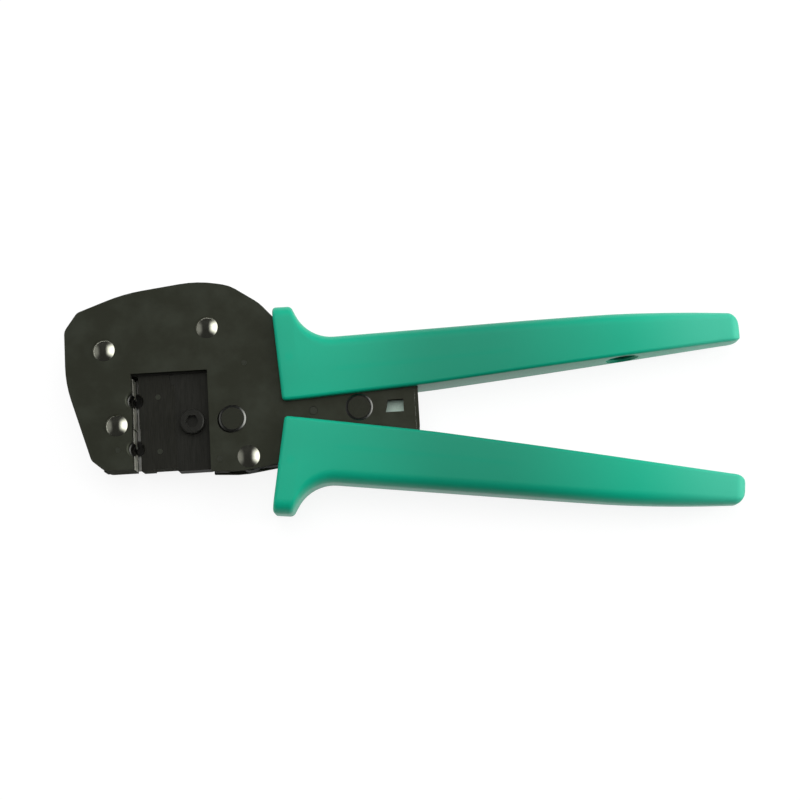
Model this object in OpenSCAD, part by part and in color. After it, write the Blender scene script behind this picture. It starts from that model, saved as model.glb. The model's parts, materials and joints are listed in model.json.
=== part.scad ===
// Hand crimp tool for small terminals, lying on its side.
// X runs from the nose to the grip ends, Y across the grips, Z up through the side plates.
// Outlines are drawn from the tool's centre line (Y = 0) and the die screw (X = 0). place() then
// puts the middle of the tool's own box on the origin. The tool is drawn as it lies open at rest.

/* [Side plates] */
// Thickness of each side plate
plate_t = 2.5; // [2:0.25:3]
// Space between the side plates, which holds the ram, the lever and the dies
plate_gap = 8; // [7:0.25:8]
// Distance from the die screw to the nose
nose = 43.1; // [42:0.1:44]
// Height of the head above the centre line
head_top = 49.2; // [48:0.2:51]
// Depth of the head below the centre line
head_low = 18.2; // [18:0.1:19]
// Top edge of the die window
window_top = 17.7; // [17.3:0.1:18.5]
// Right edge of the die window
window_right = 5.9; // [5:0.1:6.1]
// How far the window's left edge stands back from the anvil faces
window_back = 0.2; // [0.1:0.1:0.6]
// End of the tongue between the grips
tongue_end = 78.2; // [77.2:0.2:80]
// Lower edge of the tongue at its end
tongue_low = 7.8; // [7:0.1:8.2]
// Top edge of the tongue, inside the upper grip
tongue_top = 20; // [19:0.5:21]

/* [Rivets and pins] */
// Shank radius of the frame rivets
rivet_r = 2.6; // [2:0.1:3]
// Radius of the domed rivet heads
rivet_head_r = 3.8; // [3.4:0.1:4.2]
// Height of the domed rivet heads
rivet_head_h = 1.8; // [1.4:0.1:2.2]
// Shank radius of the rivet that the lever turns on
pivot_r = 2.8; // [2.4:0.1:3.2]
// Radius of the pin that drives the ram
drive_r = 3.8; // [3.2:0.1:4]
// Radius of the drive pin's flat heads
drive_head_r = 4.7; // [4.4:0.1:5]
// Height of the drive pin's flat heads
drive_head_h = 0.6; // [0.4:0.1:0.8]
// Radius of the dowels in the dies and the frame
dowel_r = 0.9; // [0.6:0.1:1.1]
// Radius of the post that holds the return spring
post_r = 1.5; // [1.2:0.1:1.7]
// Radius of the pin behind the pawl spring
spring_pin_r = 1.2; // [1:0.1:1.4]
// Shank radius of the flush rivets inside the upper grip
flush_rivet_r = 2; // [1.6:0.1:2.6]

/* [Dies] */
// Distance of the anvil face above the step from the die screw
anvil_face = 20.4; // [20.1:0.1:20.7]
// Set-back of the anvil face below the step
anvil_step = 0.2; // [0.1:0.05:0.8]
// Gap between the die faces above the step when the tool is open
open_gap = 1.95; // [1.35:0.05:2]
// Set-back of the punch face below the step
punch_step = -0.2; // [-0.5:0.1:0.5]
// Depth of the anvils behind their faces
anvil_w = 10.8; // [9.5:0.1:11.5]
// Top edge of the anvils
anvil_top = 16.5; // [15:0.1:17]
// Top edge of the punches
punch_top = 13.2; // [12:0.1:14]
// Bottom edge of the dies
die_low = 15.5; // [14.8:0.1:16]
// Distance of each nest from the centre line
nest_y = 8.4; // [7:0.1:9]
// Radius of the insulation nests
nest_r = 2.35; // [1.8:0.05:2.6]
// Radius of the conductor nests
wire_nest_r = 1.6; // [1:0.1:1.8]
// Width of the bell mouth round each insulation nest
nest_mouth = 0.45; // [0.2:0.05:0.6]
// Head radius of the die screw
screw_head_r = 4.2; // [3.6:0.1:4.4]
// Head height of the die screw
screw_head_h = 2.4; // [2:0.1:2.8]
// Thread radius of the die screw
screw_r = 2.5; // [2:0.1:3]

/* [Ram] */
// Place of the seam between the punches and the ram
seam = 5.8; // [5.4:0.1:6.2]
// Right side of the ram's body
ram_right = 6; // [5.6:0.1:6.2]
// Bottom edge of the ram
ram_low = 16.8; // [16.4:0.1:17.2]
// Half the height of the ram's fork
fork_half = 6.2; // [5.8:0.1:6.6]
// End of the ram's fork
fork_end = 19.8; // [19.2:0.1:20]

/* [Lever] */
// Angle that the lever turns through from open to closed
lever_travel = 5.7; // [4:0.1:5.8]
// Radius of the lever's boss round its pivot
boss_r = 4.6; // [4.2:0.1:4.7]
// Thickness of the arm that carries the drive pin
arm_t = 3; // [2.4:0.1:3.4]
// Radius of the arm's end round the drive pin
arm_end_r = 5.4; // [5:0.1:5.6]

/* [Ratchet] */
// Number of ratchet teeth
teeth = 5; // [3:1:5]
// Angle from tooth to tooth, round the lever's pivot
tooth_pitch = 0.95; // [0.8:0.05:1]
// Height of a ratchet tooth
tooth_h = 0.6; // [0.4:0.05:0.8]
// Radius of the tooth tips round the lever's pivot
ratchet_r = 35; // [34.5:0.1:35.4]
// Width of the curved finger that carries the teeth
finger_w = 4; // [3:0.1:4.4]
// Radius of the pawl's hub
pawl_hub_r = 4; // [3.6:0.1:4.6]
// Thickness of the pawl
pawl_t = 5; // [4:0.2:6]
// Radius of the pawl pin
pawl_pin_r = 2; // [1.6:0.1:2.4]
// Radius of the pawl pin's flat heads
pawl_head_r = 4.7; // [4:0.1:5.2]
// Height of the pawl pin's flat heads
pawl_head_h = 0.3; // [0.2:0.05:0.35]
// Angle of the pawl's nose above the line from its pin to the lever's pivot
nose_angle = 25; // [23:0.5:28]
// Length of the release window in the tongue
release_w = 5.4; // [4.6:0.1:6]
// Height of the release window in the tongue
release_h = 4.3; // [3.6:0.1:5]

/* [Springs] */
// Wire diameter of the return spring
return_wire = 0.7; // [0.5:0.05:0.8]
// Mean radius of the return spring's coils
return_coil_r = 1.85; // [1.5:0.05:2]
// Wire diameter of the pawl spring
pawl_wire = 0.4; // [0.3:0.05:0.45]
// Mean radius of the pawl spring's coils
pawl_coil_r = 1.2; // [1:0.05:1.4]

/* [Grips] */
// Thickness of the grips
grip_t = 18; // [17:0.5:20]
// Radius of the edges along the grips' backs
grip_round = 4.6; // [3:0.1:5]
// Radius of the edges along the grips' inner sides
grip_edge = 1.3; // [1:0.1:1.6]
// Share of their thickness that the grips keep at their ends
grip_taper = 0.52; // [0.5:0.02:1]
// End of the grips
grip_end = 192; // [188:0.5:196]
// Height of the upper grip's back above the centre line
grip_back = 29.3; // [28.5:0.1:30]
// Height of the thumb horn above the centre line
horn_top = 38.5; // [37:0.1:40]
// Width of the thumb horn at its top
horn_w = 6.6; // [6:0.1:7]
// Angle of the line midway between the grips, below the centre line
spread = 3.1; // [3:0.05:3.4]
// Height of that line above the die screw
spread_rise = 4.07; // [3.9:0.01:4.3]
// Distance that the lower grip is set back along that line
grip_slide = 0.8; // [0:0.1:1]
// Radius of the moulded hole in each grip's inner face
grip_hole_r = 5.3; // [4:0.1:5.6]
// Depth of the moulded hole
grip_hole_d = 11; // [6:0.5:11.5]

/* [Hidden] */
$fn = 64;

// Clearances: a pressed pin, a running pin, a sliding face, and bodies that only pass each other
press = 0.02;
run = 0.05;
slip = 0.1;
pass = 0.3;

// Heights through the tool
mid_z = grip_t / 2;
gap_lo = mid_z - plate_gap / 2;
gap_hi = mid_z + plate_gap / 2;
rear_z = gap_lo - plate_t;
front_z = gap_hi + plate_t;

// Rivets, pins and posts, measured on the front plate
rivet_at = [[-29.6, 26.5], [6.4, 32.5], [-26, 0]];
pivot = [19, -13.35];
drive = [14, 0];
pawl_room = 6.4154;
pawl_at = pivot + (ratchet_r + pawl_room) * unit([38.7, 14.75]);
post_room = 1.822;
post_at = pivot + (ratchet_r - tooth_h - finger_w - post_r - post_room) * unit([22.9, 14.45]);
spring_pin_at = pawl_at + [6.8, -7.6];
flush_at = [[42, 17], [70, 17.5]];
anvil_dowel_at = [-25.8, -8.5];
core_dowel_at = [18.8, 19.3];
guide_dowel_at = [9, -13.5];
stop_screw_r = 1.5;
stop_room = 1.8;
stop_screw_at = [-anvil_face - anvil_w - stop_screw_r - stop_room, 3];
release_at = pawl_at + [12.6, -0.15];

// Dies: one step in each face, midway between the nests
step_y = -1.3;
punch_face = open_gap - anvil_face;
nest_x = (punch_face - anvil_face) / 2;
punch_pin_at = [[-11.7, nest_y + 1.1], [-11.7, -nest_y - 1.1]];

// The ram slides between the core above it and the guide below it
core_low = window_top - 0.5;
ram_top = core_low - slip;
ram_lip = seam + 1.5;
ram_back = 10;
guide_top = -8.1;
tail_half = 6;
tail_end = 5;
screw_at = [0, 0];
relief_r = nest_r + nest_mouth;
relief_rise = 0.55;

// The drive pin moves down in the ram's yoke as the lever closes
drive_arm = drive - pivot;
drive_move = drive_arm - spin(drive_arm, lever_travel);
drive_drop = drive_move.y;
arm_half = 4;
arm_room = 0.6;
hook_at = [20.8, 4.2];
hook_r = 1;
ear_wall = 1.4;
root_room = 0.5;
lever_lo = gap_lo + 2 * slip;
lever_hi = gap_hi - 2 * slip;

// The pawl's nose reaches the tooth tips, less a running clearance
nose_clear = 0.12;
pawl_span = norm(pawl_at - pivot);
pawl_line = atan2(pivot.y - pawl_at.y, pivot.x - pawl_at.x);
nose_cos = pawl_span * cos(nose_angle);
nose_len = nose_cos - sqrt(nose_cos * nose_cos - pawl_span * pawl_span
                           + (ratchet_r + nose_clear) * (ratchet_r + nose_clear));
nose_tip = pawl_at + nose_len * [cos(pawl_line - nose_angle), sin(pawl_line - nose_angle)];
tip_angle = atan2(nose_tip.y - pivot.y, nose_tip.x - pivot.x);

// Outlines from corners that each carry a radius, [x, y, r]
function unit(v) = v / norm(v);
function corner(p, q, s, r) =
    r == 0 ? [[q.x, q.y]] :
    let (a = unit([p.x - q.x, p.y - q.y]),
         b = unit([s.x - q.x, s.y - q.y]),
         half = acos(a * b) / 2,
         c = [q.x, q.y] + unit(a + b) * r / sin(half),
         d = [q.x, q.y] + a * r / tan(half) - c,
         turn = (a.x * b.y - a.y * b.x > 0 ? -1 : 1) * (180 - 2 * half),
         n = ceil(max(abs(turn) / 12, abs(turn) * r * PI / 180 / 4)))
    [for (k = [0:n]) c + spin(d, turn * k / n)];
function spin(v, a) = [v.x * cos(a) - v.y * sin(a), v.x * sin(a) + v.y * cos(a)];
function rounded(c) = let (n = len(c))
    [for (i = [0:n - 1]) each corner(c[(i + n - 1) % n], c[i], c[(i + 1) % n], c[i][2])];
function between(p, q, n) = [for (k = [1:n]) p + (q - p) * k / (n + 1)];
function arc(c, r, from, to, n) =
    [for (k = [0:n]) let (a = from + (to - from) * k / n) c + r * [cos(a), sin(a)]];

// Side plate: the head and the tongue in one outline
plate_shoulder = [33.6, 30.2];
plate_brow = [24.9, head_top - 9.1];
plate_root = 35;
plate_outline = rounded([
    [-35, 3.8 - die_low, 3], [-30.6, -die_low, 3], [-16, -die_low, 0], [2, 0.6 - head_low, 0],
    [6.2, 0.6 - head_low, 0], [16, -head_low, 20], [33, 2.3 - head_low, 6], [44, -tongue_low - 1.7, 8],
    [tongue_end, -tongue_low, 1.8], [tongue_end, tongue_top, 1.5], [plate_root, tongue_top, 0],
    [plate_shoulder.x, plate_shoulder.y, 3], [plate_brow.x, plate_brow.y, 14],
    [14.9, head_top - 2.3, 12], [4, head_top, 40], [-22, head_top - 3.1, 60],
    [4.6 - nose, head_top - 8.9, 3], [-nose, head_top - 15.2, 4], [-nose, 15.5, 42]]);

// Grip: its back from the thumb horn to the end, and its inner edge, its half thickness and the
// radius along its back for places along it
grip_root = 31.5;
horn_left = 29.2;
waist = [41.2, grip_back - 2.6, 14];
belly = [160, grip_back + 0.25, 400];
horn_corner = corner([horn_left, horn_top], [horn_left + horn_w, horn_top], waist, 2);
waist_curve = corner([horn_left + horn_w, horn_top], waist, belly, waist[2]);
belly_curve = corner(waist, belly, [grip_end, grip_back - 2.2], belly[2]);
back_line = concat([[horn_left, horn_top]], horn_corner, waist_curve,
                   between(waist_curve[len(waist_curve) - 1], belly_curve[0], 5), belly_curve,
                   between(belly_curve[len(belly_curve) - 1], [grip_end, grip_back - 2.2], 3),
                   [[grip_end, grip_back - 2.2]]);
inner_line = [[grip_root, 4.9], [82, 7.8], [grip_end, 17.5]];
half_line = [for (p = [[118, 0], [140, 0.22], [163, 0.58], [grip_end, 1]])
    [p.x, grip_t / 2 * (1 - (1 - grip_taper) * p.y)]];
round_line = [[36, grip_edge + 0.3], [52, grip_round], [165, grip_round], [grip_end, grip_round / 2]];
// Steel tang inside each grip
tang = [[58, 17.6], [138, 19.4], [138, 24.8], [58, 24.2]];

// The lower grip and its tang mirror the upper ones about the line midway between them
mirror_at = [0, spread_rise];
mirror_n = [sin(spread), cos(spread)];
slide = grip_slide * [cos(spread), -sin(spread)];
function mirrored(p) = [p.x, p.y] + slide - 2 * (([p.x, p.y] - mirror_at) * mirror_n) * mirror_n;

// The tool's own box, for the place of the origin
box_mid = [(grip_end - nose) / 2,
           (max([for (p = plate_outline) p.y]) + min([for (p = back_line) mirrored(p).y])) / 2];

module place() translate([-box_mid.x, -box_mid.y, 0]) children();
module slab(lo, hi) translate([0, 0, lo]) linear_extrude(hi - lo) children();
module pin_hole(at, r) translate([at.x, at.y, -1]) cylinder(r = r, h = grip_t + 2);
module pin(at, r, lo, hi) translate([at.x, at.y, lo]) cylinder(r = r, h = hi - lo);
module lower_side() translate(mirror_at + slide) mirror([mirror_n.x, mirror_n.y, 0]) translate(-mirror_at)
    children();

// Round pin with a small chamfer at both ends
module chamfered_pin(at, r, lo, hi, c) translate([at.x, at.y, 0]) {
    translate([0, 0, lo + c]) cylinder(r = r, h = hi - lo - 2 * c);
    translate([0, 0, lo]) cylinder(r1 = r - c, r2 = r, h = c);
    translate([0, 0, hi - c]) cylinder(r1 = r, r2 = r - c, h = c);
}

// Low round head with a wide sloping edge, on a face at height z
button_slope = 0.9;
module button(at, r, z, h, turn) translate([at.x, at.y, z]) rotate([turn, 0, 0]) {
    cylinder(r = r, h = h / 4);
    translate([0, 0, h / 4]) cylinder(r1 = r, r2 = r - button_slope, h = h * 3 / 4);
}

// A smooth bar swept along points, with the section carried on from ring to ring
function tangent(p, i) = unit(p[min(i + 1, len(p) - 1)] - p[max(i - 1, 0)]);
function across(n, t) = unit(n - t * (n * t));
module swept(p, r, sides = 6) {
    last = len(p) - 1;
    normals = [for (i = 0, n = across([0.1, 0.2, 1], tangent(p, 0)); i <= last;
                    i = i + 1, n = i <= last ? across(n, tangent(p, i)) : n) n];
    points = [for (i = [0:last]) let (t = tangent(p, i), n = normals[i], b = cross(t, n))
        for (k = [0:sides - 1]) p[i] + r * (n * cos(360 * k / sides) + b * sin(360 * k / sides))];
    walls = [for (i = [0:last - 1], k = [0:sides - 1]) let (j = (k + 1) % sides)
        [i * sides + k, (i + 1) * sides + k, (i + 1) * sides + j, i * sides + j]];
    ends = [[for (k = [0:sides - 1]) k], [for (k = [sides - 1:-1:0]) last * sides + k]];
    polyhedron(points, concat(walls, ends), convexity = 8);
}

// Extension spring from an ear, whose rim its upright loop goes round, to a post inside a flat loop
module extension_spring(ear, post, wire, coil_r, turns) {
    span = norm(post - ear);
    rim = hook_r + ear_wall / 2;
    loop_a = norm([ear_wall, arm_t]) / 2 + wire / 2 + run;
    loop_b = post_r + wire / 2 + slip;
    from = rim + loop_a + 1.2;
    body = span - from - loop_b - 1.4;
    path = concat(
        [for (k = [0:10]) let (w = 40 + 28 * k) [rim + loop_a * cos(w), 0, loop_a * sin(w)]],
        [for (k = [0:10 * turns]) [from + body * k / (10 * turns),
                                   -coil_r * cos(36 * k), coil_r * sin(36 * k)]],
        [for (k = [0:10]) let (w = 220 + 28 * k) [span + loop_b * cos(w), loop_b * sin(w), 0]]);
    translate([ear.x, ear.y, mid_z]) rotate(atan2(post.y - ear.y, post.x - ear.x)) swept(path, wire / 2);
}

// The head's outline with the die window and the holes for rivets and pins
module side_plate(lo) difference() {
    left = -anvil_face - window_back;
    low = head_low + 5;
    slab(lo, lo + plate_t) polygon(plate_outline);
    slab(lo - 1, lo + plate_t + 1) {
        translate([left, step_y]) square([window_right - left, window_top - step_y]);
        translate([left - anvil_step, -low]) square([window_right - left + anvil_step, low + step_y + 1]);
        translate(drive - drive_move / 2) circle(drive_r + norm(drive_move) / 2 + slip);
    }
    for (s = [-1, 1]) translate([nest_x, s * nest_y, 0]) {
        translate([0, 0, lo - 1]) cylinder(r = relief_r, h = plate_t + 2);
        translate([0, 0, mid_z]) rotate([lo < mid_z ? 180 : 0, 0, 0])
            translate([0, 0, front_z - mid_z - relief_rise])
            cylinder(r1 = relief_r, r2 = relief_r + 2 * relief_rise, h = 2 * relief_rise);
    }
    for (p = rivet_at) pin_hole(p, rivet_r + press);
    for (p = flush_at) pin_hole(p, flush_rivet_r + press);
    for (p = [anvil_dowel_at, core_dowel_at, guide_dowel_at]) pin_hole(p, dowel_r + press);
    pin_hole(post_at, post_r + press);
    pin_hole(spring_pin_at, spring_pin_r + press);
    pin_hole(pivot, pivot_r + press);
    pin_hole(pawl_at, pawl_pin_r + press);
}

module release_window() {
    lean = 0.9;
    polygon([release_at + [-release_w / 2 - lean, -release_h / 2],
             release_at + [release_w / 2, -release_h / 2],
             release_at + [release_w / 2, release_h / 2],
             release_at + [-release_w / 2, release_h / 2]]);
}

module front_plate() color([0.17, 0.18, 0.16]) place() difference() {
    side_plate(gap_hi);
    slab(gap_hi - 1, front_z + 1) release_window();
}

module rear_plate() color([0.16, 0.17, 0.15]) place() difference() {
    side_plate(rear_z);
    pin_hole(stop_screw_at, stop_screw_r + press);
}

// C-shaped core between the plates, along the nose and above the ram
module frame_core() color([0.2, 0.2, 0.19]) place() difference() {
    back = -anvil_face - anvil_w;
    slab(gap_lo, gap_hi) intersection() {
        polygon(plate_outline);
        polygon([[-nose - 5, -30], [back, -30], [back, core_low], [27, core_low],
                 [30, plate_shoulder.y - 2], [40, 60], [-nose - 5, 60]]);
    }
    for (p = rivet_at) pin_hole(p, rivet_r + press);
    pin_hole(core_dowel_at, dowel_r + press);
    pin_hole(stop_screw_at, stop_screw_r + press);
}

// Block below the ram's rear part: the ram slides on it, and comes to rest against it
module lower_guide() color([0.2, 0.2, 0.19]) place() difference() {
    slab(gap_lo, gap_hi) polygon(rounded([
        [ram_right + pass, 0.9 - head_low, 0.5], [11.5, 0.7 - head_low, 0.5],
        [11.5, guide_top, 0.5], [ram_right + pass, guide_top, 0.5]]));
    pin_hole(guide_dowel_at, dowel_r + press);
}

// Domed rivets hold the plates at the corners of the head
module rivet(at, shank) {
    dome_r = (rivet_head_r * rivet_head_r + rivet_head_h * rivet_head_h) / (2 * rivet_head_h);
    pin(at, shank, rear_z, front_z);
    for (s = [-1, 1]) translate([at.x, at.y, mid_z]) intersection() {
        translate([0, 0, s * (front_z - mid_z + rivet_head_h - dome_r)]) sphere(dome_r);
        translate([0, 0, s * (front_z - mid_z + rivet_head_h / 2)])
            cylinder(r = rivet_head_r + 1, h = rivet_head_h, center = true);
    }
}

module frame_rivets() color([0.8, 0.8, 0.78]) place() for (p = rivet_at) rivet(p, rivet_r);

module pivot_rivet() color([0.7, 0.7, 0.68]) place() rivet(pivot, pivot_r);

module pawl_pin() color([0.25, 0.25, 0.24]) place() {
    pin(pawl_at, pawl_pin_r, rear_z, front_z);
    button(pawl_at, pawl_head_r, front_z, pawl_head_h, 0);
    button(pawl_at, pawl_head_r, rear_z, pawl_head_h, 180);
}

module spring_post() color([0.5, 0.5, 0.48]) place() chamfered_pin(post_at, post_r, rear_z, front_z, 0.2);

module pawl_spring_pin() color([0.5, 0.5, 0.48]) place()
    chamfered_pin(spring_pin_at, spring_pin_r, rear_z, front_z, 0.2);

module dowel_pins() color([0.5, 0.5, 0.48]) place()
    for (p = [anvil_dowel_at, core_dowel_at, guide_dowel_at]) pin(p, dowel_r, rear_z, front_z);

module flush_rivets() color([0.5, 0.5, 0.48]) place()
    for (p = flush_at) pin(p, flush_rivet_r, rear_z, front_z);

// The upper grip's steel lever, riveted between the plates
module fixed_tang() polygon(rounded([
    [tang_root, tongue_top - 7.4, 2], [tongue_end - 1.2, tongue_top - 7.4, 2],
    [tongue_end + 8, tang[0].y, 6], [tang[1].x, tang[1].y, 2.4], [tang[2].x, tang[2].y, 2.4],
    [tang[3].x, tang[3].y, 20], [tang_root, tongue_top + 1.6, 3]]));
tang_root = plate_root + 3;
module fixed_lever() color([0.3, 0.3, 0.29]) place() difference() {
    slab(gap_lo + slip, gap_hi - slip) fixed_tang();
    for (p = flush_at) pin_hole(p, flush_rivet_r + press);
}

// One section of the grip, from the inner edge to the back, drawn in by e at the back, at the
// inner edge and at the faces
function grip_section(x, e) =
    let (back = [x, lookup(x, back_line)],
         share = (x - horn_left) / (grip_end - horn_left),
         inner_x = grip_root + share * (grip_end - grip_root),
         inner = [inner_x, lookup(inner_x, inner_line)],
         out = unit(back - inner),
         from = inner + e[1] * out,
         w = norm(back - inner) - e[0] - e[1],
         h = lookup(x, half_line) - e[2],
         rb = max(lookup(x, round_line) - e[0], 0.2),
         ri = max(grip_edge - e[1], 0.2))
    [for (c = [[w - rb, h - rb, rb, 0], [ri, h - ri, ri, 90],
               [ri, ri - h, ri, 180], [w - rb, rb - h, rb, 270]], a = [0:4])
        let (t = c[3] + a * 90 / 4, p = from + (c[0] + c[2] * cos(t)) * out)
        [p.x, p.y, mid_z + c[1] + c[2] * sin(t)]];

// Moulded grip: sections from the root to the end, drawn in round both ends
module grip_body() {
    turns = [0, 30, 60, 90];
    end_r = 3.6;
    sections = concat(
        [for (a = turns) grip_section(horn_left + grip_edge * (1 - cos(a)),
                                      grip_edge * (1 - sin(a)) * [1, 1, 1])],
        [for (p = back_line) if (p.x > horn_left + grip_edge + 0.2 && p.x < grip_end - end_r - 0.2)
            grip_section(p.x, [0, 0, 0])],
        [for (k = [3:-1:0]) grip_section(grip_end - end_r * (1 - cos(turns[k])),
                                         end_r * (1 - sin(turns[k])) * [1.1, 0.55, 0.8])]);
    n = len(sections[0]);
    last = len(sections) - 1;
    walls = [for (i = [0:last - 1], k = [0:n - 1]) let (j = (k + 1) % n, u = (i + 1) * n)
        each [[i * n + k, u + j, i * n + j], [i * n + k, u + k, u + j]]];
    ends = [[for (k = [0:n - 1]) k], [for (k = [n - 1:-1:0]) last * n + k]];
    polyhedron([for (section = sections) each section], concat(walls, ends), convexity = 6);
}

// Round hole moulded into the grip's inner face
module grip_hole() {
    at = [150, 14.1, mid_z];
    translate(at) rotate([90, 0, 4.6]) translate([0, 0, -grip_hole_d])
        cylinder(r = grip_hole_r, h = grip_hole_d + 3);
}

module upper_grip() color([0.16, 0.66, 0.53]) place() difference() {
    grip_body();
    grip_hole();
    slab(rear_z - run, front_z + run) polygon([
        [20, -5], [tongue_end + slip, -5], [tongue_end + slip, tongue_top + slip],
        [plate_root + slip, tongue_top + slip], [plate_shoulder.x + slip, plate_shoulder.y + slip],
        [plate_brow.x + slip, plate_brow.y + slip], [20, plate_brow.y + slip]]);
    slab(gap_lo + slip, gap_hi - slip) fixed_tang();
}

// Each die half is a plate with a stepped face, cut by two round nests
module nests(r) for (s = [-1, 1]) translate([nest_x, s * nest_y]) circle(r);
module nest_mouths(top) for (s = [-1, 1])
    translate([nest_x, s * nest_y, top - nest_mouth])
        cylinder(r1 = nest_r, r2 = nest_r + nest_mouth + slip, h = nest_mouth + slip);

module anvil(lo, hi, r) difference() {
    back = -anvil_face - anvil_w;
    slab(lo, hi) difference() {
        polygon([[back, -die_low], [-anvil_face - anvil_step, -die_low],
                 [-anvil_face - anvil_step, step_y], [-anvil_face, step_y],
                 [-anvil_face, anvil_top], [back, anvil_top]]);
        nests(r);
    }
    pin_hole(rivet_at[2], rivet_r + press);
    pin_hole(anvil_dowel_at, dowel_r + press);
}

module insulation_anvil() color([0.35, 0.35, 0.33]) place() difference() {
    anvil(mid_z, gap_hi, nest_r);
    nest_mouths(gap_hi);
}

module conductor_anvil() color([0.3, 0.3, 0.28]) place() anvil(gap_lo, mid_z, wire_nest_r);

// Thin plate under the rear plate: its two fingers lie behind the nests, where terminal ends rest
stop_t = 1.2;
finger_half = 2.4;
finger_rise = 1.5;
// Strip of the stop behind the slit between the dies
shield_half = 2.2;
module terminal_stop() color([0.55, 0.55, 0.53]) place() difference() {
    left = stop_screw_at.x - 2 * stop_screw_r;
    low = -nest_y - finger_half + 1;
    slab(rear_z - stop_t, rear_z) intersection() {
        translate([0.8, 0.8]) polygon(plate_outline);
        union() {
            translate([left, low]) square([4 * stop_screw_r, nest_y + finger_rise + finger_half - low]);
            for (s = [-1, 1]) translate([left, s * nest_y + finger_rise - finger_half])
                square([nest_x + nest_r + 1 - left, 2 * finger_half]);
            translate([nest_x - shield_half, -die_low]) square([2 * shield_half, die_low + anvil_top]);
        }
    }
    pin_hole(stop_screw_at, stop_screw_r + slip);
}

module stop_screw() color([0.7, 0.7, 0.68]) place() {
    head_h = 1;
    pin(stop_screw_at, stop_screw_r, rear_z - stop_t, gap_hi);
    difference() {
        pin(stop_screw_at, stop_screw_r + 1.2, rear_z - stop_t - head_h, rear_z - stop_t);
        translate([stop_screw_at.x - 4, stop_screw_at.y - 0.35, rear_z - stop_t - head_h - 1])
            cube([8, 0.7, 1.5]);
    }
}

// The ram: a block in the window, with a fork behind it whose yoke takes the drive pin
module ram() color([0.19, 0.19, 0.18]) place() difference() {
    slab(gap_lo + slip, gap_hi - slip) polygon(rounded([
        [-seam, -ram_low, 0.4], [ram_right, -ram_low, 0.8], [ram_right, guide_top + slip, 0],
        [ram_back, guide_top + slip, 0.5], [ram_back, -fork_half, 0], [fork_end, -fork_half, 2.5],
        [fork_end, fork_half, 2.5], [ram_back, fork_half, 0], [ram_back, ram_top, 0.8],
        [-ram_lip, ram_top, 0.5], [-ram_lip, punch_top + run, 0], [-seam, punch_top + run, 0]]));
    slab(gap_lo - 1, mid_z) translate([-seam - 1, -tail_half]) square([seam + 1 + tail_end, 2 * tail_half]);
    pin_hole(screw_at, screw_r + slip);
    slab(mid_z - arm_t / 2 - slip, mid_z + arm_t / 2 + slip)
        translate([drive.x - arm_end_r - arm_room, -20]) square([20, 20 + fork_half + slip]);
    slab(gap_lo - 1, gap_hi + 1) {
        for (y = [slip, -drive_drop - slip]) translate(drive + [0, y]) circle(drive_r + run);
        translate([drive.x - drive_r - run, drive.y - drive_drop - slip])
            square([2 * (drive_r + run), drive_drop + 2 * slip]);
    }
}

// Punches: the front one crimps the insulation, the rear one the conductor
module punch_shape(r) difference() {
    polygon([[punch_face - punch_step, -die_low - 0.6], [-14.1, -die_low - 0.6], [-14.1, -0.2 - die_low],
             [-seam, -0.2 - die_low], [-seam, punch_top], [punch_face, punch_top],
             [punch_face, step_y], [punch_face - punch_step, step_y]]);
    nests(r);
}

module insulation_punch() color([0.36, 0.36, 0.34]) place() difference() {
    slab(mid_z, gap_hi - slip) punch_shape(nest_r);
    nest_mouths(gap_hi - slip);
    for (p = punch_pin_at) pin_hole(p, dowel_r + press);
}

// The conductor punch has a tail under the ram, where the die screw holds it
module conductor_punch() color([0.3, 0.3, 0.28]) place() difference() {
    slab(gap_lo + slip, mid_z) {
        punch_shape(wire_nest_r);
        translate([punch_face, punch_top - 1]) square([-ram_lip - punch_face, ram_top - punch_top + 1]);
        translate([-seam - 1, -tail_half]) square([seam + 1 + tail_end, 2 * tail_half]);
    }
    pin_hole(screw_at, screw_r + press);
    for (p = punch_pin_at) pin_hole(p, dowel_r + press);
}

module punch_pins() color([0.7, 0.7, 0.68]) place() {
    pin(punch_pin_at[0], dowel_r, gap_lo + slip, gap_hi - slip);
    pin(punch_pin_at[1], dowel_r, gap_lo + slip, gap_hi - slip);
}

// Low head socket screw that draws the conductor punch against the ram
module die_screw() color([0.15, 0.15, 0.14]) place() {
    top = gap_hi - slip;
    socket = 4;
    pin(screw_at, screw_r, gap_lo + 0.5, top);
    difference() {
        chamfered_pin(screw_at, screw_head_r, top, top + screw_head_h, 0.35);
        translate([screw_at.x, screw_at.y, top + screw_head_h - 1.6])
            cylinder(d = socket / cos(30), h = 3, $fn = 6);
    }
}

// Saw teeth round the pivot: steep below, so that they hold, and gentle above
function polar(r, a) = pivot + r * [cos(a), sin(a)];
module ratchet_sector() {
    root_r = ratchet_r - tooth_h;
    top = tip_angle - 0.5;
    polygon(concat(arc(pivot, root_r, -6, top - teeth * tooth_pitch, 8),
                   [for (k = [0:teeth - 1]) let (a = top - (teeth - k) * tooth_pitch)
                        each [polar(ratchet_r, a), polar(root_r, a + tooth_pitch)]],
                   [polar(root_r, top + 2), polar(root_r - 1, top + 3),
                    polar(root_r - finger_w + 1, top + 3)],
                   arc(pivot, root_r - finger_w, top + 2, -6, 10)));
}

// The bar inside the lower grip
module lever_bar() {
    t = [for (p = tang) mirrored(p)];
    polygon(rounded([
        [17, 1.2 - head_low, 0], [31, 1.9 - head_low, 20], [44, -19.6, 30], [t[3].x, t[3].y, 30],
        [t[2].x, t[2].y, 2.4],
        [t[1].x, t[1].y, 2.4], [t[0].x, t[0].y, 8], [46, -13.2, 10], [30, -10.5, 6], [22, -8.9, 0]]));
}

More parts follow.
